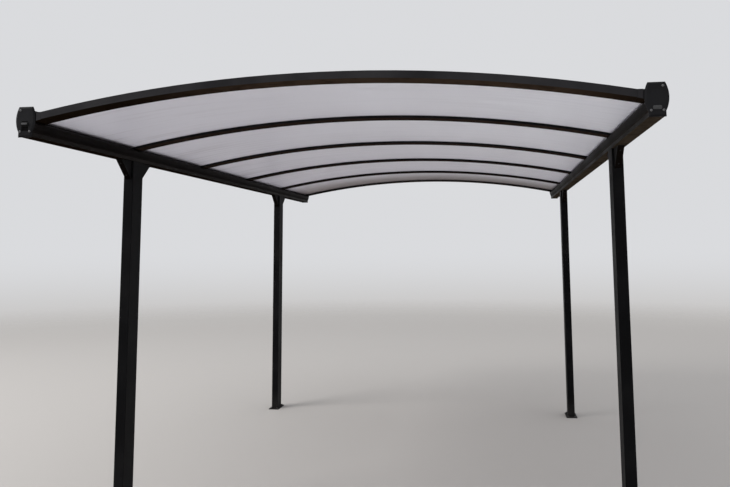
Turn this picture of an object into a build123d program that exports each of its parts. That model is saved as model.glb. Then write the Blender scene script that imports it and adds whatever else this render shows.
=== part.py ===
# Open carport with a shallow arched roof: four posts, two gutter beams, six roof arches, five panels
# Millimetres: +X is right, +Y runs from front to rear, +Z is up, origin on the floor under the middle
from build123d import *
import os
from math import sqrt

os.makedirs("parts", exist_ok=True)

# Roof grid along Y: each panel takes one pitch, and an upstand closes the outer edge of the end panels
BAYS = 5
PANEL_PITCH = 1004.0
END_WALL = 7.0
END_SETBACK = 3.0
PANEL_LINE = BAYS * PANEL_PITCH / 2
ARCH_END = PANEL_LINE + END_WALL
HALF_LENGTH = ARCH_END + END_SETBACK

# Gutter beam: barrel outline with a narrow straight box under it
BEAM_X = 1431.0
BEAM_BOTTOM = 2112.0
BEAM_H = 142.0
WAIST_H = 21.0
BELLY_H = 82.0
WAIST_HALF = 32.5
BELLY_HALF = 48.5
TOP_HALF = 34.0
BEAM_WALL = 2.5
GUTTER_FLOOR = 27.0
TOP_LIP = 14.0
LEDGE = 28.0
LEDGE_ROUND = 12.0
BEAM_TOP = BEAM_BOTTOM + BEAM_H

# End cap of the beam
CAP_T = 8.0
CAP_LIP = 1.0
CAP_FOOT_HALF = 35.0
CAP_DROP = 3.0
CAP_GAP = 5.0
BEVEL_DEPTH = 3.0
BEVEL_WIDTH = 8.0
OUTLET_W = 36.0
OUTLET_H = 17.0
HOOD_W = 32.0
HOOD_OUT = 6.0
HOOD_RISE = 11.0
HOOD_FACE = 9.5
HOOD_BACK = 4.0
OVERFLOW_H = 4.5
PLUG_OUT = 1.5
BEAM_HALF_LENGTH = HALF_LENGTH - CAP_T

# Roof arcs share one centre line along Y: the lowest crosses the beams' inner line at the seat height
UNDER_R = 6900.0
SEAT_H = 74.0
SEAT_X = BEAM_X - BELLY_HALF
ARC_Z = BEAM_BOTTOM + SEAT_H - sqrt(UNDER_R * UNDER_R - SEAT_X * SEAT_X)
SEAT = 0.3
BAR_H = 14.0
PANEL_T = 6.0
BAR_R = UNDER_R + BAR_H
PANEL_R = BAR_R + SEAT
PANEL_TOP_R = PANEL_R + PANEL_T
COVER_R = PANEL_TOP_R + SEAT
COVER_T = 8.0

# Arches across the roof
ARCH_W = 88.0
WEB_W = 8.0
COVER_W = 64.0
COVER_ROUND = 4.0
END_ARCH_W = 95.0
END_ARCH_H = 36.0
END_FLANGE_W = 50.0
SHOE_L = 28.0
SHOE_SEAM = 0.8
PANEL_PLAY = 2.0
PANEL_STOP = 22.0
PANEL_END_X = BEAM_X - PANEL_STOP

# Posts, braces and feet
POST_W = 60.0
POST_D = 120.0
POST_WALL = 2.5
POST_ROUND = 3.0
POST_Y = 1488.0
BRACE_W = 35.0
BRACE_RUN = 118.0
BRACE_DROP = 109.0
BRACE_TIP = 4.0
FOOT_W = 98.0
FOOT_D = 195.0
FOOT_T = 6.0
FOOT_ROUND = 5.0
FOOT_HOLE_R = 5.5
FOOT_HOLE_X = 60.0
FOOT_HOLE_Y = 162.0
SPIGOT_H = 120.0
SPIGOT_FIT = 0.5
SPIGOT_WALL = 3.0


def arc_height(radius, x):
    """Height of the roof arc of this radius at a distance x from the middle."""
    return ARC_Z + sqrt(radius * radius - x * x)


def roof_arc(radius, half_x):
    """Arc of this radius across the roof, from one side to the other."""
    side_z = arc_height(radius, half_x)
    return ThreePointArc((-half_x, side_z), (0, ARC_Z + radius), (half_x, side_z))


def curved_slab(r_in, r_out, half_x, y_from, y_to):
    """Slab between two roof arcs, cut upright at both sides."""
    with BuildPart() as slab:
        with BuildSketch(Plane.XZ.offset(-y_from)):
            with BuildLine():
                low = roof_arc(r_in, half_x)
                high = roof_arc(r_out, half_x)
                Line(low @ 0, high @ 0)
                Line(low @ 1, high @ 1)
            make_face()
        extrude(amount=y_from - y_to)
    return slab.part


def barrel_outline(lip, foot_half, foot_bottom):
    """Outline of the right gutter beam, seen from the front: barrel grown by a lip, on a straight foot."""
    with BuildSketch() as outline:
        with BuildLine():
            foot = Polyline(
                (BEAM_X - foot_half, BEAM_BOTTOM + WAIST_H),
                (BEAM_X - foot_half, foot_bottom),
                (BEAM_X + foot_half, foot_bottom),
                (BEAM_X + foot_half, BEAM_BOTTOM + WAIST_H),
            )
            outer_belly = (BEAM_X + BELLY_HALF + lip, BEAM_BOTTOM + BELLY_H)
            inner_belly = (BEAM_X - BELLY_HALF - lip, BEAM_BOTTOM + BELLY_H)
            outer_side = ThreePointArc(foot @ 1, outer_belly, (BEAM_X + TOP_HALF + lip, BEAM_TOP + lip))
            inner_side = ThreePointArc(foot @ 0, inner_belly, (BEAM_X - TOP_HALF - lip, BEAM_TOP + lip))
            Line(outer_side @ 1, inner_side @ 1)
        make_face()
    return outline.sketch


# Gutter beam: thin shell with a closed chamber at the foot and an open water channel above it
# Its inner wall stops below the roof and turns over, round a corner, into the ledge that carries the arches
seat_end = SEAT_X + LEDGE
cut_in = SEAT_X - TOP_LIP
lip_x = BEAM_X + TOP_HALF - TOP_LIP
seat_in_z = arc_height(UNDER_R - SEAT, SEAT_X)
seat_end_z = arc_height(UNDER_R - SEAT, seat_end)
cut_in_z = seat_in_z + (seat_in_z - seat_end_z) * TOP_LIP / LEDGE
ledge_in_z = seat_in_z - (seat_in_z - seat_end_z) * BEAM_WALL / 2 / LEDGE
with BuildPart() as gutter_beam_right:
    with BuildSketch(Plane.XZ) as beam_section:
        barrel = barrel_outline(0, WAIST_HALF, BEAM_BOTTOM)
        add(barrel)
        offset(barrel, amount=-BEAM_WALL, kind=Kind.INTERSECTION, mode=Mode.SUBTRACT)
        with Locations((BEAM_X, BEAM_BOTTOM + GUTTER_FLOOR - BEAM_WALL / 2)):
            Rectangle(2 * (WAIST_HALF + BEAM_WALL), BEAM_WALL)
        Polygon(
            (cut_in, cut_in_z),
            (seat_end, seat_end_z),
            (lip_x, seat_end_z),
            (lip_x, BEAM_TOP + BEAM_WALL),
            (cut_in, BEAM_TOP + BEAM_WALL),
            align=None,
            mode=Mode.SUBTRACT,
        )
        Polygon(
            (SEAT_X + BEAM_WALL / 2, ledge_in_z),
            (seat_end, seat_end_z),
            (seat_end, seat_end_z - BEAM_WALL),
            (SEAT_X + BEAM_WALL / 2, ledge_in_z - BEAM_WALL),
            align=None,
        )
        inner_point = (SEAT_X + BEAM_WALL, ledge_in_z - BEAM_WALL)
        under_corner = beam_section.vertices().sort_by_distance(inner_point)[0]
        fillet(under_corner, radius=LEDGE_ROUND - BEAM_WALL)
        upper_corner = beam_section.vertices().sort_by_distance((SEAT_X, seat_in_z))[0]
        fillet(upper_corner, radius=LEDGE_ROUND)
    extrude(amount=BEAM_HALF_LENGTH, both=True)

with BuildPart() as gutter_beam_left:
    mirror(gutter_beam_right.part, about=Plane.YZ)

for beam, name in ((gutter_beam_right, "gutter_beam_right"), (gutter_beam_left, "gutter_beam_left")):
    beam.part.label = name
    export_step(beam.part, f"parts/{name}.step")


def beam_cap(has_hood):
    """Front end cap of the right beam: a hooded outlet with an overflow slot above it, or a blank plug."""
    outlet_top = BEAM_BOTTOM + GUTTER_FLOOR + OUTLET_H
    hood_top = outlet_top + HOOD_RISE + HOOD_FACE + HOOD_BACK
    with BuildPart() as cap:
        with BuildSketch(Plane.XZ.offset(HALF_LENGTH)):
            add(barrel_outline(CAP_LIP, CAP_FOOT_HALF, BEAM_BOTTOM - CAP_DROP))
        extrude(amount=-CAP_T)
        front_face = cap.faces().sort_by(Axis.Y)[0]
        chamfer(front_face.edges(), length=BEVEL_WIDTH, length2=BEVEL_DEPTH, reference=front_face)
        with BuildSketch(Plane.XZ.offset(HALF_LENGTH)):
            with Locations((BEAM_X, outlet_top)):
                Rectangle(OUTLET_W, OUTLET_H, align=(Align.CENTER, Align.MAX))
            if has_hood:
                with Locations((BEAM_X, hood_top)):
                    Rectangle(HOOD_W, OVERFLOW_H, align=(Align.CENTER, Align.MIN))
        if has_hood:
            extrude(amount=-CAP_T, mode=Mode.SUBTRACT)
            with BuildSketch(Plane.YZ.offset(BEAM_X - HOOD_W / 2)):
                Polygon(
                    (-HALF_LENGTH + CAP_T / 2, outlet_top),
                    (-HALF_LENGTH, outlet_top),
                    (-HALF_LENGTH - HOOD_OUT, outlet_top + HOOD_RISE),
                    (-HALF_LENGTH - HOOD_OUT, outlet_top + HOOD_RISE + HOOD_FACE),
                    (-HALF_LENGTH, hood_top),
                    (-HALF_LENGTH + CAP_T / 2, hood_top),
                    align=None,
                )
            extrude(amount=HOOD_W)
        else:
            extrude(amount=PLUG_OUT)
    return cap.part


# End caps: the front left and rear right gutters drain, the other two ends are blanked
hooded_cap = beam_cap(True)
blank_cap = beam_cap(False)
with BuildPart() as cap_front_right:
    add(blank_cap)
with BuildPart() as cap_front_left:
    mirror(hooded_cap, about=Plane.YZ)
with BuildPart() as cap_rear_right:
    mirror(hooded_cap, about=Plane.XZ)
with BuildPart() as cap_rear_left:
    add(blank_cap, rotation=(0, 0, 180))

caps = (
    (cap_front_right, "gutter_cap_front_right"),
    (cap_front_left, "gutter_cap_front_left"),
    (cap_rear_right, "gutter_cap_rear_right"),
    (cap_rear_left, "gutter_cap_rear_left"),
)
for cap, name in caps:
    cap.part.label = name
    export_step(cap.part, f"parts/{name}.step")

# Room of the four end caps with an open joint beside them, taken out of the shoes that run in behind
with BuildPart() as cap_room:
    with BuildSketch(Plane.XZ.offset(BEAM_HALF_LENGTH - SEAT)):
        add(barrel_outline(CAP_LIP + CAP_GAP, CAP_FOOT_HALF, BEAM_BOTTOM - CAP_DROP))
    extrude(amount=2 * CAP_T)
    mirror(about=Plane.XZ)
    mirror(about=Plane.YZ)

# Front arch: a channel bent to the roof arc, closed in front, with a slot behind for the panel edge
slot_end = END_ARCH_W - ARCH_END
shoe_x = SEAT_X - SHOE_L
arch_body = curved_slab(UNDER_R, UNDER_R + END_ARCH_H, shoe_x - SHOE_SEAM, -ARCH_END, slot_end)
arch_slot = curved_slab(BAR_R, COVER_R, BEAM_X, -PANEL_LINE, slot_end)
arch_rebate = curved_slab(BAR_R, UNDER_R + 2 * END_ARCH_H, BEAM_X, END_FLANGE_W - ARCH_END, slot_end)
with BuildPart() as front_arch:
    add(arch_body)
    chamfer(front_arch.edges().group_by(Axis.Y)[0].sort_by(SortBy.LENGTH)[-1], length=COVER_ROUND / 2)
    add(arch_slot, mode=Mode.SUBTRACT)
    add(arch_rebate, mode=Mode.SUBTRACT)

with BuildPart() as rear_arch:
    mirror(front_arch.part, about=Plane.XZ)

for arch, name in ((front_arch, "front_arch"), (rear_arch, "rear_arch")):
    arch.part.label = name
    export_step(arch.part, f"parts/{name}.step")

# Arch shoe: the short flat-topped end piece of an end arch, seated on the beam's ledge behind the end cap
with BuildPart() as shoe_front_right:
    with BuildSketch(Plane.XZ.offset(ARCH_END)):
        Polygon(
            (shoe_x, arc_height(UNDER_R, shoe_x)),
            (shoe_x, arc_height(UNDER_R + END_ARCH_H, shoe_x)),
            (PANEL_END_X, arc_height(UNDER_R + END_ARCH_H, shoe_x)),
            (PANEL_END_X, arc_height(UNDER_R, PANEL_END_X)),
            align=None,
        )
    extrude(amount=-END_ARCH_W)
    add(arch_slot, mode=Mode.SUBTRACT)
    add(arch_rebate, mode=Mode.SUBTRACT)
    add(cap_room.part, mode=Mode.SUBTRACT)

with BuildPart() as shoe_front_left:
    mirror(shoe_front_right.part, about=Plane.YZ)
with BuildPart() as shoe_rear_right:
    mirror(shoe_front_right.part, about=Plane.XZ)
with BuildPart() as shoe_rear_left:
    mirror(shoe_front_left.part, about=Plane.XZ)

shoes = (
    (shoe_front_right, "arch_shoe_front_right"),
    (shoe_front_left, "arch_shoe_front_left"),
    (shoe_rear_right, "arch_shoe_rear_right"),
    (shoe_rear_left, "arch_shoe_rear_left"),
)
for shoe, name in shoes:
    shoe.part.label = name
    export_step(shoe.part, f"parts/{name}.step")

# Middle arches: a flat bar under the joint of two panels with a rib between them, and a cover strip on top
for index in range(1, BAYS):
    y_mid = index * PANEL_PITCH - PANEL_LINE
    bar = curved_slab(UNDER_R, BAR_R, PANEL_END_X, y_mid - ARCH_W / 2, y_mid + ARCH_W / 2)
    rib = curved_slab(BAR_R, PANEL_TOP_R, PANEL_END_X, y_mid - WEB_W / 2, y_mid + WEB_W / 2)
    with BuildPart() as middle_arch:
        add(bar)
        add(rib)
    middle_arch.part.label = f"middle_arch_{index}"
    export_step(middle_arch.part, f"parts/middle_arch_{index}.step")

    strip = curved_slab(COVER_R, COVER_R + COVER_T, PANEL_END_X, y_mid - COVER_W / 2, y_mid + COVER_W / 2)
    with BuildPart() as cover_strip:
        add(strip)
        crown_edges = cover_strip.faces().sort_by(Axis.Z)[-1].edges().sort_by(SortBy.LENGTH)[-2:]
        chamfer(crown_edges, length=COVER_ROUND)
    cover_strip.part.label = f"cover_strip_{index}"
    export_step(cover_strip.part, f"parts/cover_strip_{index}.step")

# Roof panels: one curved sheet for each bay, running out over the beam ledges above the gutters
for index in range(BAYS):
    y_from = index * PANEL_PITCH - PANEL_LINE
    y_to = y_from + PANEL_PITCH
    front_play = PANEL_PLAY if index == 0 else WEB_W / 2 + PANEL_PLAY
    rear_play = PANEL_PLAY if index == BAYS - 1 else WEB_W / 2 + PANEL_PLAY
    sheet = curved_slab(PANEL_R, PANEL_TOP_R, PANEL_END_X, y_from + front_play, y_to - rear_play)
    with BuildPart() as roof_panel:
        add(sheet)
    roof_panel.part.label = f"roof_panel_{index + 1}"
    export_step(roof_panel.part, f"parts/roof_panel_{index + 1}.step")


def post_brace(x_mid, y_face, way):
    """Corner brace between a post and the beam: a flat-sided block with a sloping underside."""
    with BuildPart() as brace:
        with BuildSketch(Plane.YZ.offset(x_mid)):
            Polygon(
                (y_face, BEAM_BOTTOM),
                (y_face + way * BRACE_RUN, BEAM_BOTTOM),
                (y_face + way * BRACE_RUN, BEAM_BOTTOM - BRACE_TIP),
                (y_face + way * BRACE_TIP, BEAM_BOTTOM - BRACE_DROP),
                (y_face, BEAM_BOTTOM - BRACE_DROP),
                align=None,
            )
        extrude(amount=BRACE_W / 2, both=True)
    return brace.part


# Posts: hollow rectangular tubes on foot plates, with a brace before and behind each head
corners = (
    (-BEAM_X, -POST_Y, "front_left"),
    (BEAM_X, -POST_Y, "front_right"),
    (-BEAM_X, POST_Y, "rear_left"),
    (BEAM_X, POST_Y, "rear_right"),
)
for x_mid, y_mid, corner in corners:
    with BuildPart() as post:
        with BuildSketch(Plane.XY.offset(FOOT_T)):
            with Locations((x_mid, y_mid)):
                RectangleRounded(POST_W, POST_D, POST_ROUND)
                Rectangle(POST_W - 2 * POST_WALL, POST_D - 2 * POST_WALL, mode=Mode.SUBTRACT)
        extrude(amount=BEAM_BOTTOM - FOOT_T)
    post.part.label = f"post_{corner}"
    export_step(post.part, f"parts/post_{corner}.step")

    spigot_w = POST_W - 2 * (POST_WALL + SPIGOT_FIT)
    spigot_d = POST_D - 2 * (POST_WALL + SPIGOT_FIT)
    with BuildPart() as foot_plate:
        with BuildSketch():
            with Locations((x_mid, y_mid)):
                RectangleRounded(FOOT_W, FOOT_D, FOOT_ROUND)
                with GridLocations(FOOT_HOLE_X, FOOT_HOLE_Y, 2, 2):
                    Circle(FOOT_HOLE_R, mode=Mode.SUBTRACT)
        extrude(amount=FOOT_T)
        with BuildSketch(Plane.XY.offset(FOOT_T)):
            with Locations((x_mid, y_mid)):
                Rectangle(spigot_w, spigot_d)
                Rectangle(spigot_w - 2 * SPIGOT_WALL, spigot_d - 2 * SPIGOT_WALL, mode=Mode.SUBTRACT)
        extrude(amount=SPIGOT_H)
    foot_plate.part.label = f"foot_{corner}"
    export_step(foot_plate.part, f"parts/foot_{corner}.step")

    for way, side_name in ((-1, "front"), (1, "rear")):
        brace_part = post_brace(x_mid, y_mid + way * POST_D / 2, way)
        brace_part.label = f"brace_{corner}_{side_name}"
        export_step(brace_part, f"parts/brace_{corner}_{side_name}.step")
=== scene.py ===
# Carport: four posts on foot plates, two gutter beams, six bent arches and five translucent roof sheets
import math

import bmesh
import bpy
import numpy as np
from mathutils import Matrix, Vector


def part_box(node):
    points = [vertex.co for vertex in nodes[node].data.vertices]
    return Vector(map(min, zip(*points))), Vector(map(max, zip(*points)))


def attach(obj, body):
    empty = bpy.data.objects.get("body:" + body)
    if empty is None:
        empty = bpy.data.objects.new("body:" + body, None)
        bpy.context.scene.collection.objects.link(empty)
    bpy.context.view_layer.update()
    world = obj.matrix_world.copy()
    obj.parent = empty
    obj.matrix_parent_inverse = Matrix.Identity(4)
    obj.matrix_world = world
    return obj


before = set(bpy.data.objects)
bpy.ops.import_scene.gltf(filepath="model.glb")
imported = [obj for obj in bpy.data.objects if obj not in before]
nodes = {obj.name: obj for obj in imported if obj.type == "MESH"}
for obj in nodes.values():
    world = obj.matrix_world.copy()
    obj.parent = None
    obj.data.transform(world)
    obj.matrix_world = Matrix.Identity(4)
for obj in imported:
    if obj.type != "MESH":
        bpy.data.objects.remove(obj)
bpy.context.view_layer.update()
corners = ("front_left", "front_right", "rear_left", "rear_right")

# Ground anchors. Each foot plate is held down by four blackened M10 hexagon bolts over round washers.
# The head's top is turned to a shallow cone, so its six corners are rounded off where the cone meets them.
anchor_columns = 48
anchor_hex = 0.0080
anchor_spacing = (0.060, 0.162)
plate_top = 0.006
# Rows of radius, height over the plate and 1 where the hexagon cuts them: shank, washer, head and cone.
anchor_profile = (
    (0.0, -0.0055, 0), (0.0050, -0.0055, 0), (0.0050, 0.0001, 0), (0.0098, 0.0001, 0), (0.0102, 0.0005, 0),
    (0.0102, 0.0017, 0), (0.0098, 0.0021, 0), (0.0094, 0.0021, 1), (0.0094, 0.0022, 1), (0.0094, 0.0078, 1),
    (0.0079, 0.0086, 1), (0.0, 0.0086, 0),
)


def closed_skin(name, points):
    """Mesh over grids of points[k, i, j]: k separate skins, each with rows i from pole to pole and columns
    j round its axis. A cell joins a point with its neighbours in both directions, and poles are merged."""
    index = np.arange(points[..., 0].size).reshape(points.shape[:3])
    beside = np.roll(index, -1, axis=2)
    cells = np.stack((index[:, :-1], beside[:, :-1], beside[:, 1:], index[:, 1:]), axis=-1).reshape(-1, 4)
    mesh = bpy.data.meshes.new(name)
    mesh.from_pydata(points.reshape(-1, 3), [], cells)
    welded = bmesh.new()
    welded.from_mesh(mesh)
    bmesh.ops.remove_doubles(welded, verts=welded.verts, dist=1e-6)
    bmesh.ops.recalc_face_normals(welded, faces=welded.faces)
    welded.to_mesh(mesh)
    welded.free()
    mesh.polygons.foreach_set("use_smooth", np.ones(len(mesh.polygons), bool))
    mesh.set_sharp_from_angle(angle=math.radians(32))
    piece = bpy.data.objects.new(name, mesh)
    bpy.context.scene.collection.objects.link(piece)
    return piece


def fit(piece, finish):
    """Gives a finished piece its material and its slot, and hangs it on the carport."""
    piece.data.materials.append(finish)
    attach(piece, "root")


def turned(radii, heights, columns, outline=None):
    """Grid of a turned form: row i is a ring of radius radii[i] at heights[i] round the z axis. Where an
    outline is given, a ring marked in it is cut back to the outline's own radius at each angle."""
    angle = np.linspace(0.0, 2 * math.pi, columns, endpoint=False)
    ring = np.repeat(np.array(radii)[:, None], columns, axis=1)
    if outline is not None:
        marked, edge = outline
        ring = np.where(np.array(marked)[:, None], np.minimum(ring, edge(angle)[None, :]), ring)
    level = np.repeat(np.array(heights)[:, None], columns, axis=1)
    return np.stack((ring * np.cos(angle), ring * np.sin(angle), level), axis=-1)


def set_down(grid, centres, along):
    """Copies of a grid, one at each centre, with its z axis turned to the direction given for that one."""
    along = np.broadcast_to(np.array(along, float), (len(centres), 3))
    along = along / np.linalg.norm(along, axis=1, keepdims=True)
    helper = np.where(np.abs(along[:, 2:]) > 0.9, np.array([(1.0, 0.0, 0.0)]), np.array([(0.0, 0.0, 1.0)]))
    first = np.cross(helper, along)
    first /= np.linalg.norm(first, axis=1, keepdims=True)
    second = np.cross(along, first)
    basis = np.stack((first, second, along), axis=1)
    return np.einsum("ijc,kcd->kijd", grid, basis) + np.array(centres)[:, None, None, :]


def hexagon(angle):
    """Radius of a hexagon at each angle: its apothem over the cosine of the angle from the nearest flat."""
    return anchor_hex / np.cos((angle + math.pi / 6) % (math.pi / 3) - math.pi / 6)


def shader_node(tree, kind, feeds=(), **settings):
    """One shader node, with each named input given a plain value or linked to another node's output."""
    made = tree.nodes.new(kind)
    for key, value in settings.items():
        setattr(made, key, value)
    for name, value in dict(feeds).items():
        if isinstance(value, bpy.types.NodeSocket):
            tree.links.new(value, made.inputs[name])
        else:
            made.inputs[name].default_value = value
    return made


def noise_on(tree, scale, detail, stretch=(1.0, 1.0, 1.0)):
    """Cloudy value on Object coordinates, with the pattern drawn out along the axes of small stretch."""
    place = shader_node(tree, "ShaderNodeTexCoord")
    mapped = shader_node(tree, "ShaderNodeMapping", {"Vector": place.outputs["Object"], "Scale": stretch})
    cloud = shader_node(
        tree, "ShaderNodeTexNoise", {"Vector": mapped.outputs["Vector"], "Scale": scale, "Detail": detail}
    )
    return cloud.outputs["Fac"]


def ranged(tree, value, low, high, to_low, to_high):
    """A value between low and high mapped smoothly on to the range to_low to to_high."""
    return shader_node(
        tree,
        "ShaderNodeMapRange",
        {"Value": value, "From Min": low, "From Max": high, "To Min": to_low, "To Max": to_high},
        interpolation_type="SMOOTHSTEP",
    ).outputs["Result"]


def blended(tree, share, colour_a, colour_b):
    """Colour a turning into colour b as the share goes from 0 to 1."""
    return shader_node(
        tree, "ShaderNodeMix", {"Factor": share, 6: colour_a, 7: colour_b}, data_type="RGBA"
    ).outputs[2]


def relief(tree, height, strength, distance, under=None):
    """Bumped normal: the height pressed into the surface, or into another bumped normal under it."""
    feeds = {"Height": height, "Strength": strength, "Distance": distance}
    if under is not None:
        feeds["Normal"] = under
    return shader_node(tree, "ShaderNodeBump", feeds).outputs["Normal"]


def start_material(name):
    """Material with its node tree and the Principled shader that is wired to its output."""
    material = bpy.data.materials.new(name)
    material.use_nodes = True
    return material, material.node_tree, material.node_tree.nodes["Principled BSDF"]


def link(tree, output, shader, name):
    """Wires a node's output to the shader's input of this name."""
    tree.links.new(output, shader.inputs[name])


def worn_surface(name, scale, detail, span, dark, light, roughness, levels=(), dents=None):
    """Material of a small worn part: over this span of a fine cloudy pattern its colour goes from the dark
    to the light one, and its roughness goes from the first to the second one with the same pattern. Levels
    are plain values for other inputs of the shader, and dents the strength and depth of a bump."""
    material, tree, shader = start_material(name)
    pattern = noise_on(tree, scale, detail)
    tone = blended(tree, ranged(tree, pattern, *span, 0, 1), dark + (1,), light + (1,))
    link(tree, tone, shader, "Base Color")
    link(tree, ranged(tree, pattern, 0.3, 0.7, *roughness), shader, "Roughness")
    for key, value in dict(levels).items():
        shader.inputs[key].default_value = value
    if dents:
        link(tree, relief(tree, pattern, *dents), shader, "Normal")
    return material


bolt_black = worn_surface(
    "blackened_bolt", 260.0, 3.0, (0.4, 0.75), (0.020, 0.020, 0.021), (0.085, 0.078, 0.070), (0.45, 0.65),
    {"Metallic": 0.4}, dents=(0.15, 0.0004),
)

radii, heights, cut = zip(*anchor_profile)
anchor_grid = turned(radii, heights, anchor_columns, (cut, hexagon))
for corner in corners:
    low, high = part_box(f"post_{corner}")
    mid_x, mid_y = (low.x + high.x) / 2, (low.y + high.y) / 2
    spots = [
        (mid_x + way_x * anchor_spacing[0] / 2, mid_y + way_y * anchor_spacing[1] / 2, plate_top)
        for way_x in (-1, 1)
        for way_y in (-1, 1)
    ]
    fit(closed_skin(f"anchors_{corner}", set_down(anchor_grid, spots, (0, 0, 1))), bolt_black)

# Foot plates and posts. Rectangular aluminium tube, powder coated near-black, slipped over a spigot on the
# plate. Rain throws grit up its lowest hand's breadth, and the coat has the orange peel that baking leaves.
splash_height = 0.22
coat_clouds = (0.72, 1.28)
dust_and_light_tone = (0.16, 0.145, 0.125, 1)
painted_underside_fade = 0.6


def worked_out(tree, operation, *values):
    """Result of one step of arithmetic on plain values or other nodes' outputs, such as their product."""
    return shader_node(tree, "ShaderNodeMath", dict(enumerate(values)), operation=operation).outputs[0]


def place_on(tree):
    """Outputs X, Y and Z with the place on the carport that is being coloured."""
    place = shader_node(tree, "ShaderNodeTexCoord").outputs["Object"]
    return shader_node(tree, "ShaderNodeSeparateXYZ", {"Vector": place}).outputs


def facing_up_on(tree):
    """How far a face looks up: 1 where it faces the sky, 0 where it is upright, -1 where it faces down."""
    facing = shader_node(tree, "ShaderNodeNewGeometry").outputs["Normal"]
    return shader_node(tree, "ShaderNodeSeparateXYZ", {"Vector": facing}).outputs["Z"]


def powder_coat(name, colour, run, roughness, dust_share, painted_underside_tones, painted_underside_span=(-1.0, 1.0), sheen=0.05,
                splash=False, upright_painted_light=0.0, shaded_underside_end=None):
    """Baked powder coat: dark colour with slow cloudy change, fine lines drawn out along the run of the
    extrusion, pale dust in the clouds' peaks, and on standing pieces grit that fades out above the ground.
    Dust settles on faces that look up. Faces that look down take a painted underside colour: painted
    reflection of the ground, and painted shade where it is darker than the coat. Its tone goes over from
    the first to the second one across this span of x, and in patches and over a shaded end it drops darker
    as painted shade. An upright band, such as the beams' foot, is painted paler with the dust tone as
    painted light, and faces that look down lose the sheen."""
    material, tree, shader = start_material(name)
    axes = place_on(tree)
    facing_up = facing_up_on(tree)
    cloud = noise_on(tree, 3.5, 4.0)
    lines = noise_on(tree, 160.0, 3.0, tuple(0.012 if axis == run else 1.0 for axis in "xyz"))
    speck = noise_on(tree, 420.0, 2.0)
    dark, light = (tuple(share * part for part in colour) + (1,) for share in coat_clouds)
    body = blended(tree, ranged(tree, cloud, 0.3, 0.7, 0, 1), dark, light)
    in_clouds = ranged(tree, cloud, 0.45, 0.75, 0.15, 1)
    dust = worked_out(tree, "MULTIPLY", in_clouds, ranged(tree, speck, 0.4, 0.75, 0, dust_share))
    if splash:
        spatter = ranged(tree, noise_on(tree, 310.0, 6.0), 0.35, 0.7, 0.25, 1)
        grit = worked_out(tree, "MULTIPLY", ranged(tree, axes["Z"], 0.0, splash_height, 0.16, 0), spatter)
        dust = worked_out(tree, "MAXIMUM", dust, grit)
    drift = ranged(tree, noise_on(tree, 11.0, 5.0), 0.35, 0.7, 0.3, 1)
    settled = worked_out(tree, "MULTIPLY", ranged(tree, facing_up, 0.4, 0.95, 0, 0.13), drift)
    dust = worked_out(tree, "MAXIMUM", dust, settled)
    # Painted light: upright faces are painted paler with the dust tone, which is added into the dust mask.
    if upright_painted_light:
        upright = ranged(tree, worked_out(tree, "ABSOLUTE", facing_up), 0.005, 0.06, upright_painted_light, 0)
        dust = worked_out(tree, "MAXIMUM", dust, upright)
    dust_and_light_colour = blended(tree, dust, body, dust_and_light_tone)
    # Painted underside: a painted reflection of the ground and painted shade on faces that look down.
    painted_underside = blended(tree, ranged(tree, axes["X"], *painted_underside_span, 0, 1), *painted_underside_tones)
    underside_shade_patches = worked_out(
        tree,
        "MAXIMUM",
        ranged(tree, lines, 0.45, 0.65, 0, 0.2),
        ranged(tree, noise_on(tree, 13.0, 7.0), 0.4, 0.68, 0, 0.42),
    )
    if shaded_underside_end:
        underside_shade_patches = worked_out(tree, "MAXIMUM", underside_shade_patches, ranged(tree, axes["X"], *shaded_underside_end, 0, 0.75))
    painted_underside = blended(tree, underside_shade_patches, painted_underside, tuple(painted_underside_fade * part for part in painted_underside_tones[0][:3]) + (1,))
    link(tree, blended(tree, ranged(tree, facing_up, -0.8, -0.3, 1, 0), dust_and_light_colour, painted_underside), shader, "Base Color")
    link(tree, ranged(tree, cloud, 0.3, 0.7, roughness - 0.05, roughness + 0.07), shader, "Roughness")
    dulled = ranged(tree, facing_up, -0.6, -0.05, 1, 0)
    link(tree, ranged(tree, dulled, 0, 1, sheen, 0.0), shader, "Specular IOR Level")
    peel = relief(tree, speck, 0.12, 0.0004)
    link(tree, relief(tree, lines, 0.18, 0.0003, peel), shader, "Normal")
    return material


def finish_nodes(material, *names):
    """Puts one material on these pieces of the frame in place of their plain one."""
    for name in names:
        slots = nodes[name].data.materials
        slots.clear()
        slots.append(material)


# Faces of the posts and feet that look down are painted warm brown, a painted reflection of the ground.
post_painted_underside = ((0.0200, 0.0136, 0.0106, 1), (0.0200, 0.0136, 0.0106, 1))
post_coat = powder_coat("post_coat", (0.0046, 0.0046, 0.0053), "z", 0.56, 0.10, post_painted_underside, splash=True)
finish_nodes(post_coat, *(f"{kind}_{corner}" for kind in ("post", "foot") for corner in corners))

screw_columns = 30
screw_sunk = 0.0004
rim_height = 0.0006
crown_turn = 1.12
recess_r = 0.0019
recess_depth = 0.0013


def six_lobes(angle):
    """Outline of a six-lobed recess: a circle whose radius swells and shrinks six times round."""
    return recess_r * (1 + 0.14 * np.cos(6 * angle))


def pan_screw(head_r, head_h):
    """Grid of a pan head: a rim, a crown that falls as a quarter ellipse, and a six-lobed recess on top."""
    turn = np.linspace(0.0, crown_turn, 7)
    crown_r = head_r * np.cos(turn)
    crown_h = rim_height + (head_h - rim_height) * np.sin(turn) / math.sin(crown_turn)
    lobe_r, floor_h = recess_r * 1.14, head_h - recess_depth
    radii = [0.0, head_r, *crown_r, lobe_r, lobe_r, 0.0]
    heights = [-screw_sunk, -screw_sunk, *crown_h, head_h, floor_h, floor_h]
    marked = [0] * (len(radii) - 3) + [1, 1, 0]
    return turned(radii, heights, screw_columns, (marked, six_lobes))


screw_black = worn_surface(
    "blackened_screw", 300.0, 3.0, (0.5, 0.75), (0.007, 0.007, 0.008), (0.026, 0.026, 0.027), (0.42, 0.58),
    {"Specular IOR Level": 0.2},
)

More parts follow.
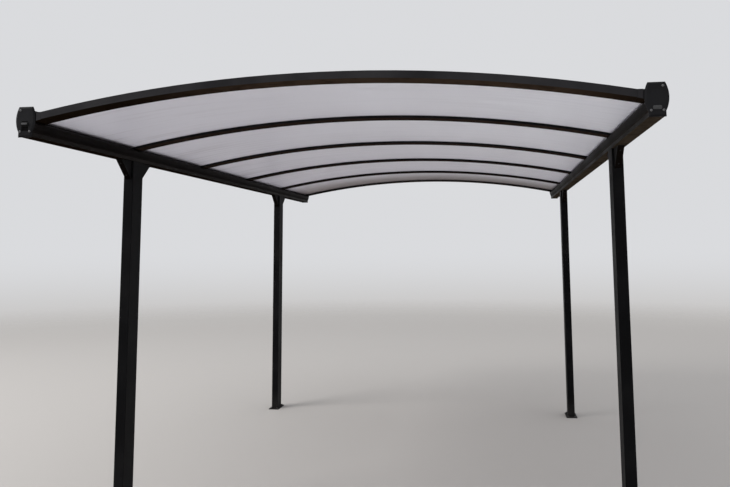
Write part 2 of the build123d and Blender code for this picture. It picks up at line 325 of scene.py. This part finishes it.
post_screw = pan_screw(0.0048, 0.0024)
post_screw_levels = (0.048, 0.098)
for corner in corners:
    low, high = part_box(f"post_{corner}")
    mid_y = (low.y + high.y) / 2
    heads = [(side_x, mid_y, level) for side_x in (low.x, high.x) for level in post_screw_levels]
    ways = [(-1, 0, 0), (-1, 0, 0), (1, 0, 0), (1, 0, 0)]
    fit(closed_skin(f"post_screws_{corner}", set_down(post_screw, heads, ways)), screw_black)

# Corner braces. Cast aluminium blocks, coated with the frame, before and behind each post head.
# Two pan-head screws in the sloping face hold each of them to the post and to the beam.
# Faces of the braces that look down, such as the sloping face, are painted darker than the coat, as painted
# shade.
cast_painted_underside = ((0.0060, 0.0046, 0.0040, 1), (0.0084, 0.0062, 0.0052, 1))
cast_coat = powder_coat("cast_coat", (0.0078, 0.0076, 0.0082), "x", 0.60, 0.10, cast_painted_underside)
brace_tip = 0.004
brace_screw = pan_screw(0.0045, 0.0022)
brace_screw_shares = np.array((0.2, 0.8))
for corner in corners:
    for side in ("front", "rear"):
        name = f"brace_{corner}_{side}"
        finish_nodes(cast_coat, name)
        low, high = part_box(name)
        way = -1 if side == "front" else 1
        heel_y, toe_y = (high.y, low.y) if way < 0 else (low.y, high.y)
        slope_y = np.array((heel_y + way * brace_tip, toe_y))
        slope_z = np.array((low.z, high.z - brace_tip))
        heads = np.stack((
            np.full(2, (low.x + high.x) / 2),
            slope_y[0] + brace_screw_shares * (slope_y[1] - slope_y[0]),
            slope_z[0] + brace_screw_shares * (slope_z[1] - slope_z[0]),
        ), axis=1)
        out = (0, way * (slope_z[1] - slope_z[0]), -abs(slope_y[1] - slope_y[0]))
        screws = closed_skin(f"brace_screws_{corner}_{side}", set_down(brace_screw, heads, out))
        fit(screws, screw_black)

# Gutter beams. One barrel-shaped aluminium extrusion each side, with fine die lines and a water channel.
# Its hollow foot gives it stiffness, and the turned-over ledge inside carries the ends of the arches.
# Faces that look down carry painted shade on the left beam and a warm brown painted reflection of the
# ground on the right one, and the upright band at the foot is painted paler as painted light.
beam_painted_underside = ((0.0080, 0.0047, 0.0030, 1), (0.0590, 0.0465, 0.0345, 1))
beam_coat = powder_coat(
    "beam_coat", (0.0052, 0.0042, 0.0043), "y", 0.50, 0.14, beam_painted_underside, sheen=0.03, upright_painted_light=0.08
)
finish_nodes(beam_coat, "gutter_beam_left", "gutter_beam_right")

# End caps. Moulded in fine-grained black plastic and held by three pan-head screws to the beam's end.
# Two of them drain through a hooded outlet, whose turned-out lip carries a pale plate as a painted
# highlight, and two have a grey plug. The caps' faces that look down, such as the hood's underside, are
# painted near black as painted shade.
cap_plastic, tree, shader = start_material("cap_plastic")
grain = noise_on(tree, 1100.0, 2.0)
patch = noise_on(tree, 14.0, 4.0)
moulded = blended(
    tree, ranged(tree, patch, 0.3, 0.7, 0, 1), (0.0092, 0.0092, 0.0102, 1), (0.0150, 0.0150, 0.0162, 1)
)
# Painted shade: the caps' faces that look down go near black.
cap_painted_shade = ranged(tree, facing_up_on(tree), -0.44, -0.3, 1, 0)
link(tree, blended(tree, cap_painted_shade, moulded, (0.0012, 0.0012, 0.0013, 1)), shader, "Base Color")
link(tree, ranged(tree, patch, 0.3, 0.7, 0.5, 0.62), shader, "Roughness")
link(tree, relief(tree, grain, 0.2, 0.0003), shader, "Normal")
shader.inputs["Specular IOR Level"].default_value = 0.09
finish_nodes(cap_plastic, *(f"gutter_cap_{corner}" for corner in corners))

cap_steel = worn_surface(
    "dull_steel_screw", 380.0, 3.0, (0.35, 0.7), (0.09, 0.09, 0.093), (0.175, 0.175, 0.175), (0.4, 0.55),
    {"Metallic": 0.5},
)
# Grey plastic for the plugs, and for the outlet lips' pale plate, which is a painted highlight.
plug_and_lip_highlight_plastic = worn_surface(
    "grey_plug_and_lip_highlight", 120.0, 4.0, (0.3, 0.7), (0.027, 0.027, 0.028), (0.044, 0.044, 0.045), (0.45, 0.6)
)

beam_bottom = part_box("gutter_beam_right")[0].z
beam_mid = (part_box("post_front_right")[0].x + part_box("post_front_right")[1].x) / 2
cap_face = 2.520
outlet_face = -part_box("gutter_cap_front_left")[0].y
cap_screw = pan_screw(0.0056, 0.0028)
cap_screw_places = ((-0.025, 0.024), (0.025, 0.024), (0.0255, 0.126))
plate_sunk = 0.0002
lip_highlight_level, plug_level = 0.05975, 0.0355
plug_seat = cap_face + 0.0015


def pillow_plate(half_w, half_h, thick):
    """Grid of a thin plate with rounded corners: each ring is a superellipse of power 5, and the rings step
    from the plate's back over a small round edge to the middle of its face."""
    angle = np.linspace(0.0, 2 * math.pi, 64, endpoint=False)
    power = (np.abs(np.cos(angle)) ** 5 + np.abs(np.sin(angle)) ** 5) ** (-1 / 5)
    whole = max(half_w, half_h)
    inset = np.array((whole, 0.0, 0.0, 0.0001, 0.0004, whole))
    level = np.array((0.0, 0.0, thick - 0.0004, thick - 0.0001, thick, thick))
    reach_x = np.maximum(half_w - inset, 0.0)[:, None]
    reach_y = np.maximum(half_h - inset, 0.0)[:, None]
    return np.stack((
        reach_x * power * np.cos(angle),
        reach_y * power * np.sin(angle),
        np.repeat(level[:, None], len(angle), axis=1),
    ), axis=-1)


# Painted highlight: a pale plate on the hood's front lip stands in for the light that face catches.
outlet_lip_highlight = pillow_plate(0.0156, 0.0045, 0.0007)
outlet_plug = pillow_plate(0.0181, 0.0086, 0.0009)
for corner in corners:
    end, side = corner.split("_")
    way_x = 1 if side == "right" else -1
    way_y = -1 if end == "front" else 1
    heads = [
        (way_x * (beam_mid + across), way_y * cap_face, beam_bottom + above)
        for across, above in cap_screw_places
    ]
    screws = closed_skin(f"cap_screws_{corner}", set_down(cap_screw, heads, (0, way_y, 0)))
    fit(screws, cap_steel)
    if corner in ("front_left", "rear_right"):
        name, plate, face, level = f"outlet_lip_{corner}", outlet_lip_highlight, outlet_face, lip_highlight_level
    else:
        name, plate, face, level = f"outlet_plug_{corner}", outlet_plug, plug_seat, plug_level
    centre = (way_x * beam_mid, way_y * (face - plate_sunk), beam_bottom + level)
    fit(closed_skin(name, set_down(plate, [centre], (0, way_y, 0))), plug_and_lip_highlight_plastic)

# Arches. Channel extrusions bent to the roof's curve: a deep one closes each end, flat bars stand between.
# The end arches slip into short flat-topped shoes on the beams' ledges, with a hairline joint between.
# Faces that look down are painted warm brown as painted reflection of the ground, darker at both ends as
# painted shade.
arch_painted_underside = ((0.0110, 0.0072, 0.0046, 1), (0.0550, 0.0375, 0.0265, 1))
arch_coat = powder_coat(
    "arch_coat", (0.0268, 0.0258, 0.0277), "x", 0.55, 0.12, arch_painted_underside, painted_underside_span=(-1.0, -0.1),
    shaded_underside_end=(0.95, 1.38),
)
finish_nodes(arch_coat, "front_arch", "rear_arch", *(f"arch_shoe_{corner}" for corner in corners))
# The bars' faces that look down are painted warm brown, a painted reflection of the ground.
bar_painted_underside = ((0.0260, 0.0178, 0.0138, 1), (0.0360, 0.0250, 0.0194, 1))
bar_coat = powder_coat("bar_coat", (0.0084, 0.0082, 0.0087), "x", 0.56, 0.08, bar_painted_underside)
finish_nodes(bar_coat, *(f"middle_arch_{index}" for index in range(1, 5)))

# Roof sheets. Twin-wall polycarbonate, grey-white and translucent, bent cold over the arches.
# The hollow chambers run along the curve, and dust and rain tracks gather towards the gutters.
flute_pitch = 0.0107
sheet_plastic, tree, shader = start_material("twin_wall_sheet")
axes = place_on(tree)
flute = worked_out(tree, "SINE", worked_out(tree, "MULTIPLY", axes["Y"], 2 * math.pi / flute_pitch))
streak = noise_on(tree, 30.0, 4.0, (0.03, 1.0, 0.03))
cloud = noise_on(tree, 1.6, 3.0)
dirty_lines = ranged(tree, noise_on(tree, 24.0, 5.0, (0.08, 1.0, 0.08)), 0.5, 0.66, 0, 1)
dirty_side = ranged(tree, axes["X"], -1.38, -0.5, 0.6, 0.1)
tone = blended(
    tree, ranged(tree, streak, 0.35, 0.65, 0, 1), (0.795, 0.79, 0.82, 1), (0.87, 0.865, 0.89, 1)
)
# Over the plain tone lie clouds, painted shade darkening the sheets towards the left and the rear, a
# painted shadow over the rear end, the chambers' walls, a dark edge at the left gutter of dirt with painted
# shade, and dirt inside single chambers.
for share, stain in (
    (ranged(tree, cloud, 0.3, 0.7, 0, 0.4), (0.78, 0.765, 0.79, 1)),
    # Painted shade: darker and bluer towards the left side.
    (ranged(tree, axes["X"], -1.4, 1.2, 0.7, 0), (0.59, 0.575, 0.61, 1)),
    # Painted shade: darker towards the rear.
    (ranged(tree, axes["Y"], -2.5, 2.7, 0, 0.72), (0.62, 0.60, 0.635, 1)),
    # Painted shadow: dark brown over the rear end.
    (ranged(tree, axes["Y"], 1.5, 2.4, 0, 0.9), (0.25, 0.215, 0.21, 1)),
    (ranged(tree, flute, 0.2, 1.0, 0, 0.22), (0.56, 0.55, 0.60, 1)),
    # Dirt with painted shade: a dark edge along the left gutter.
    (ranged(tree, axes["X"], -1.41, -1.375, 0.3, 0), (0.42, 0.40, 0.40, 1)),
    (worked_out(tree, "MULTIPLY", dirty_lines, dirty_side), (0.50, 0.48, 0.50, 1)),
):
    tone = blended(tree, share, tone, stain)
link(tree, tone, shader, "Base Color")
link(tree, ranged(tree, streak, 0.3, 0.7, 0.28, 0.42), shader, "Roughness")
fluted = relief(tree, flute, 0.25, 0.0004)
link(tree, fluted, shader, "Normal")
shader.inputs["Transmission Weight"].default_value = 0.72
shader.inputs["IOR"].default_value = 1.3
milky = shader_node(tree, "ShaderNodeBsdfTranslucent", {"Color": tone, "Normal": fluted})
lit_through = shader_node(
    tree, "ShaderNodeMixShader", {0: 0.4, 1: shader.outputs["BSDF"], 2: milky.outputs["BSDF"]}
)
tree.links.new(lit_through.outputs["Shader"], tree.nodes["Material Output"].inputs["Surface"])
sheets = [f"roof_panel_{index}" for index in range(1, 6)]
finish_nodes(sheet_plastic, *sheets)

# Sheet closures. A small U of the same clear plastic pushed over each sheet's open chambers at the gutters.
# It runs between the arches only, because the arches' bars clamp the sheet where they cross it.
closure_wall = 0.0012
closure_leg = 0.013
closure_gap = 0.0001
closure_end_gap = 0.0003
bar_clamp, end_clamp = 0.047, 0.098
roof_radius = 6.9
seat_x, seat_z = 1.3825, 2.186
arc_z = seat_z - math.sqrt(roof_radius ** 2 - seat_x ** 2)
sheet_low, sheet_high = roof_radius + 0.0143, roof_radius + 0.0203
sheet_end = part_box("roof_panel_1")[1].x
rim_z = arc_z + math.sqrt(sheet_low ** 2 - sheet_end ** 2)
rim_slope = math.asin(sheet_end / sheet_low)


def swept(name, section, path):
    """Closed section carried along a path: point j of the section, as (across, up), is added to each place
    on the path, and at both ends the rows fall on to the section's own middle line, which closes them."""
    middle = (section + section[::-1]) / 2
    rows = np.concatenate((middle[None], np.repeat(section[None], len(path), axis=0), middle[None]))
    stations = np.concatenate((path[:1], path, path[-1:]))[:, None]
    points = stations[..., :3] + rows[..., :1] * stations[..., 3:6] + rows[..., 1:] * stations[..., 6:9]
    return closed_skin(name, points[None])


def along_y(x, z, y_low, y_high, slope):
    """Straight path along y, with its across direction sloping down outwards by this angle."""
    places = np.array(((x, y_low, z), (x, y_high, z)))
    across, up = (math.cos(slope), 0.0, -math.sin(slope)), (math.sin(slope), 0.0, math.cos(slope))
    return np.concatenate((places, np.array((across + up, across + up))), axis=1)


def u_outline(grown):
    """Four corners of a U over a sheet's edge, as (across, up) from the sheet's lower edge: a leg over it,
    the web past its end and a leg under it, standing off by the gaps and by this much more."""
    over, under = sheet_high - sheet_low + closure_gap + grown, -closure_gap - grown
    past = closure_end_gap + grown
    return np.array(((-closure_leg, over), (past, over), (past, under), (-closure_leg, under)))


closure_section = np.concatenate((u_outline(closure_wall), u_outline(0.0)[::-1]))
for name in sheets:
    low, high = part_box(name)
    y_low = low.y + (end_clamp if name == sheets[0] else bar_clamp)
    y_high = high.y - (end_clamp if name == sheets[-1] else bar_clamp)
    for side, way in (("left", -1), ("right", 1)):
        path = along_y(way * sheet_end, rim_z, y_low, y_high, way * rim_slope)
        closure = swept(f"{name}_closure_{side}", closure_section * (way, 1), path)
        fit(closure, sheet_plastic)

# Cover strips. Bowed aluminium strips screwed through to the arches below, pressing the sheets on to seals.
# The screws have sealing washers, and soft black rubber shows as a thin bead along every strip and arch.
finish_nodes(arch_coat, *(f"cover_strip_{index}" for index in range(1, 5)))
rubber = worn_surface(
    "seal_rubber", 60.0, 4.0, (0.4, 0.75), (0.0075, 0.0075, 0.0075), (0.022, 0.021, 0.020), (0.65, 0.8)
)

bead_r = 0.0016
bead_lift = 0.0013
bead_turn = np.linspace(0.0, 2 * math.pi, 10, endpoint=False) + math.pi / 10
bead = bead_r * np.stack((np.cos(bead_turn), np.sin(bead_turn)), axis=1)
bead_steps = 97
strip_bead_y, bar_bead_y = 0.0333, 0.0452
arch_bead_y = (0.0437, 0.0012)
arch_bead_short = 0.002
strip_top = roof_radius + 0.0286
strip_screws, strip_screw_reach = 7, 1.21
# Rows of radius and height over the strip: the sealing washer, the head's dome and the recess in it.
washer_profile = (
    (0.0, -0.0004), (0.0080, -0.0004), (0.0082, 0.0004), (0.0074, 0.0012), (0.0056, 0.0014),
    (0.0056, 0.0024), (0.0050, 0.0033), (0.0036, 0.0039), (0.0022, 0.0040), (0.0019, 0.0028), (0.0, 0.0028),
)
washer_screw = turned(*zip(*washer_profile), screw_columns)


def seal(name, radius, y, half_x):
    """Rubber bead bowed over the roof at this radius: the angle goes evenly from side to side, the bead's
    across direction is along y, and its up direction points away from the arc's centre."""
    reach = math.asin(half_x / radius)
    angle = np.linspace(-reach, reach, bead_steps)
    zero, one = np.zeros(bead_steps), np.ones(bead_steps)
    path = np.stack((
        radius * np.sin(angle), y * one, arc_z + radius * np.cos(angle),
        zero, one, zero, np.sin(angle), zero, np.cos(angle),
    ), axis=1)
    fit(swept(name, bead, path), rubber)


for index in range(1, 5):
    low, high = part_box(f"cover_strip_{index}")
    mid_y = (low.y + high.y) / 2
    for side, way in (("front", -1), ("rear", 1)):
        seal(f"seal_over_{index}_{side}", sheet_high + bead_lift, mid_y + way * strip_bead_y, sheet_end)
        seal(f"seal_under_{index}_{side}", sheet_low - bead_lift, mid_y + way * bar_bead_y, seat_x)
    reach = np.linspace(-strip_screw_reach, strip_screw_reach, strip_screws)
    rise = np.sqrt(strip_top ** 2 - reach ** 2)
    heads = np.stack((reach, np.full(strip_screws, mid_y), arc_z + rise), axis=1)
    ways = np.stack((reach, np.zeros(strip_screws), rise), axis=1)
    fit(closed_skin(f"strip_screws_{index}", set_down(washer_screw, heads, ways)), screw_black)
for end, way in (("front", 1), ("rear", -1)):
    low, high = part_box(f"{end}_arch")
    inner_edge = high.y if end == "front" else low.y
    over_y, under_y = inner_edge - way * arch_bead_y[0], inner_edge + way * arch_bead_y[1]
    seal(f"seal_over_{end}", sheet_high + bead_lift, over_y, sheet_end - arch_bead_short)
    seal(f"seal_under_{end}", sheet_low - bead_lift, under_y, seat_x)

# Floor and light. A broad pale ground that thins out into the backdrop, an even overcast sky and one soft
# lamp high on the left, at a level where colours render about as written.
floor_reach = 18.0
floor_mesh = bpy.data.meshes.new("floor")
floor_mesh.from_pydata(
    [(-floor_reach, -floor_reach, 0), (floor_reach, -floor_reach, 0), (floor_reach, floor_reach, 0),
     (-floor_reach, floor_reach, 0)], [], [(0, 1, 2, 3)],
)
floor = bpy.data.objects.new("floor", floor_mesh)
bpy.context.scene.collection.objects.link(floor)
ground, tree, shader = start_material("pale_ground")
place = shader_node(tree, "ShaderNodeTexCoord").outputs["Object"]
far = shader_node(tree, "ShaderNodeVectorMath", {0: place}, operation="LENGTH").outputs["Value"]
shader.inputs["Base Color"].default_value = (0.50, 0.475, 0.445, 1)
shader.inputs["Roughness"].default_value = 0.95
shader.inputs["Specular IOR Level"].default_value = 0.1
clear = shader_node(tree, "ShaderNodeBsdfTransparent")
fade = shader_node(
    tree,
    "ShaderNodeMixShader",
    {0: ranged(tree, far, 7.0, 17.0, 0, 1), 1: shader.outputs["BSDF"], 2: clear.outputs["BSDF"]},
)
tree.links.new(fade.outputs["Shader"], tree.nodes["Material Output"].inputs["Surface"])
floor_mesh.materials.append(ground)

world = bpy.data.worlds.new("studio")
bpy.context.scene.world = world
world.use_nodes = True
tree = world.node_tree
direction = shader_node(tree, "ShaderNodeTexCoord").outputs["Generated"]
rise = shader_node(tree, "ShaderNodeSeparateXYZ", {"Vector": direction}).outputs["Z"]
sky_level = ranged(tree, rise, -0.25, 0.85, 0.30, 0.95)
sky = shader_node(tree, "ShaderNodeBackground", {"Color": (0.93, 0.95, 1.0, 1), "Strength": sky_level})
far_tone = blended(
    tree, ranged(tree, rise, -0.16, 0.0, 0, 1), (0.47, 0.445, 0.415, 1), (0.700, 0.708, 0.728, 1)
)
backdrop = shader_node(tree, "ShaderNodeBackground", {"Color": far_tone, "Strength": 1.0})
ray = shader_node(tree, "ShaderNodeLightPath").outputs
seen = worked_out(tree, "MAXIMUM", ray["Is Camera Ray"], ray["Is Glossy Ray"])
seen = worked_out(tree, "MAXIMUM", seen, ray["Is Transmission Ray"])
choice = shader_node(
    tree, "ShaderNodeMixShader", {0: seen, 1: sky.outputs["Background"], 2: backdrop.outputs["Background"]}
)
tree.links.new(choice.outputs["Shader"], tree.nodes["World Output"].inputs["Surface"])

lamp_data = bpy.data.lights.new("soft_lamp", "AREA")
lamp_data.shape = "DISK"
lamp_data.size = 8.0
lamp_data.energy = 1150.0
lamp_aim = Vector((0.0, 0.0, 1.6))
lamp = bpy.data.objects.new("soft_lamp", lamp_data)
lamp.location = (-10.5, -5.0, 9.5)
lamp.rotation_mode = "QUATERNION"
lamp.rotation_quaternion = (lamp_aim - lamp.location).to_track_quat("-Z", "Y")
lamp.visible_camera = False
bpy.context.scene.collection.objects.link(lamp)

# Camera. It stands before the open end at eye height, turned slightly left and up as in the picture.
# The shift puts the middle of its view at centre_px, counted in the picture's pixels from the top left.
picture_w, picture_h = 730, 487
focal_px, centre_px = 704.1042, (385.1915, 169.6589)
eye = (0.7496524, -5.5150164, 1.5801006)
yaw, pitch, roll = -0.1512, 0.11, -0.0064
film_w = 36.0
forward = Vector((math.sin(yaw) * math.cos(pitch), math.cos(yaw) * math.cos(pitch), math.sin(pitch)))
level_right = Vector((math.cos(yaw), -math.sin(yaw), 0.0))
level_up = level_right.cross(forward)
right = math.cos(roll) * level_right + math.sin(roll) * level_up
up = math.cos(roll) * level_up - math.sin(roll) * level_right
camera_data = bpy.data.cameras.new("camera")
camera_data.sensor_width = film_w
camera_data.lens = focal_px * film_w / picture_w
camera_data.shift_x = (picture_w / 2 - centre_px[0]) / picture_w
camera_data.shift_y = (centre_px[1] - picture_h / 2) / picture_w
camera = bpy.data.objects.new("camera", camera_data)
camera.matrix_world = Matrix.Translation(eye) @ Matrix((right, up, -forward)).transposed().to_4x4()
bpy.context.scene.collection.objects.link(camera)
bpy.context.scene.camera = camera
bpy.context.scene.view_settings.view_transform = "Standard"
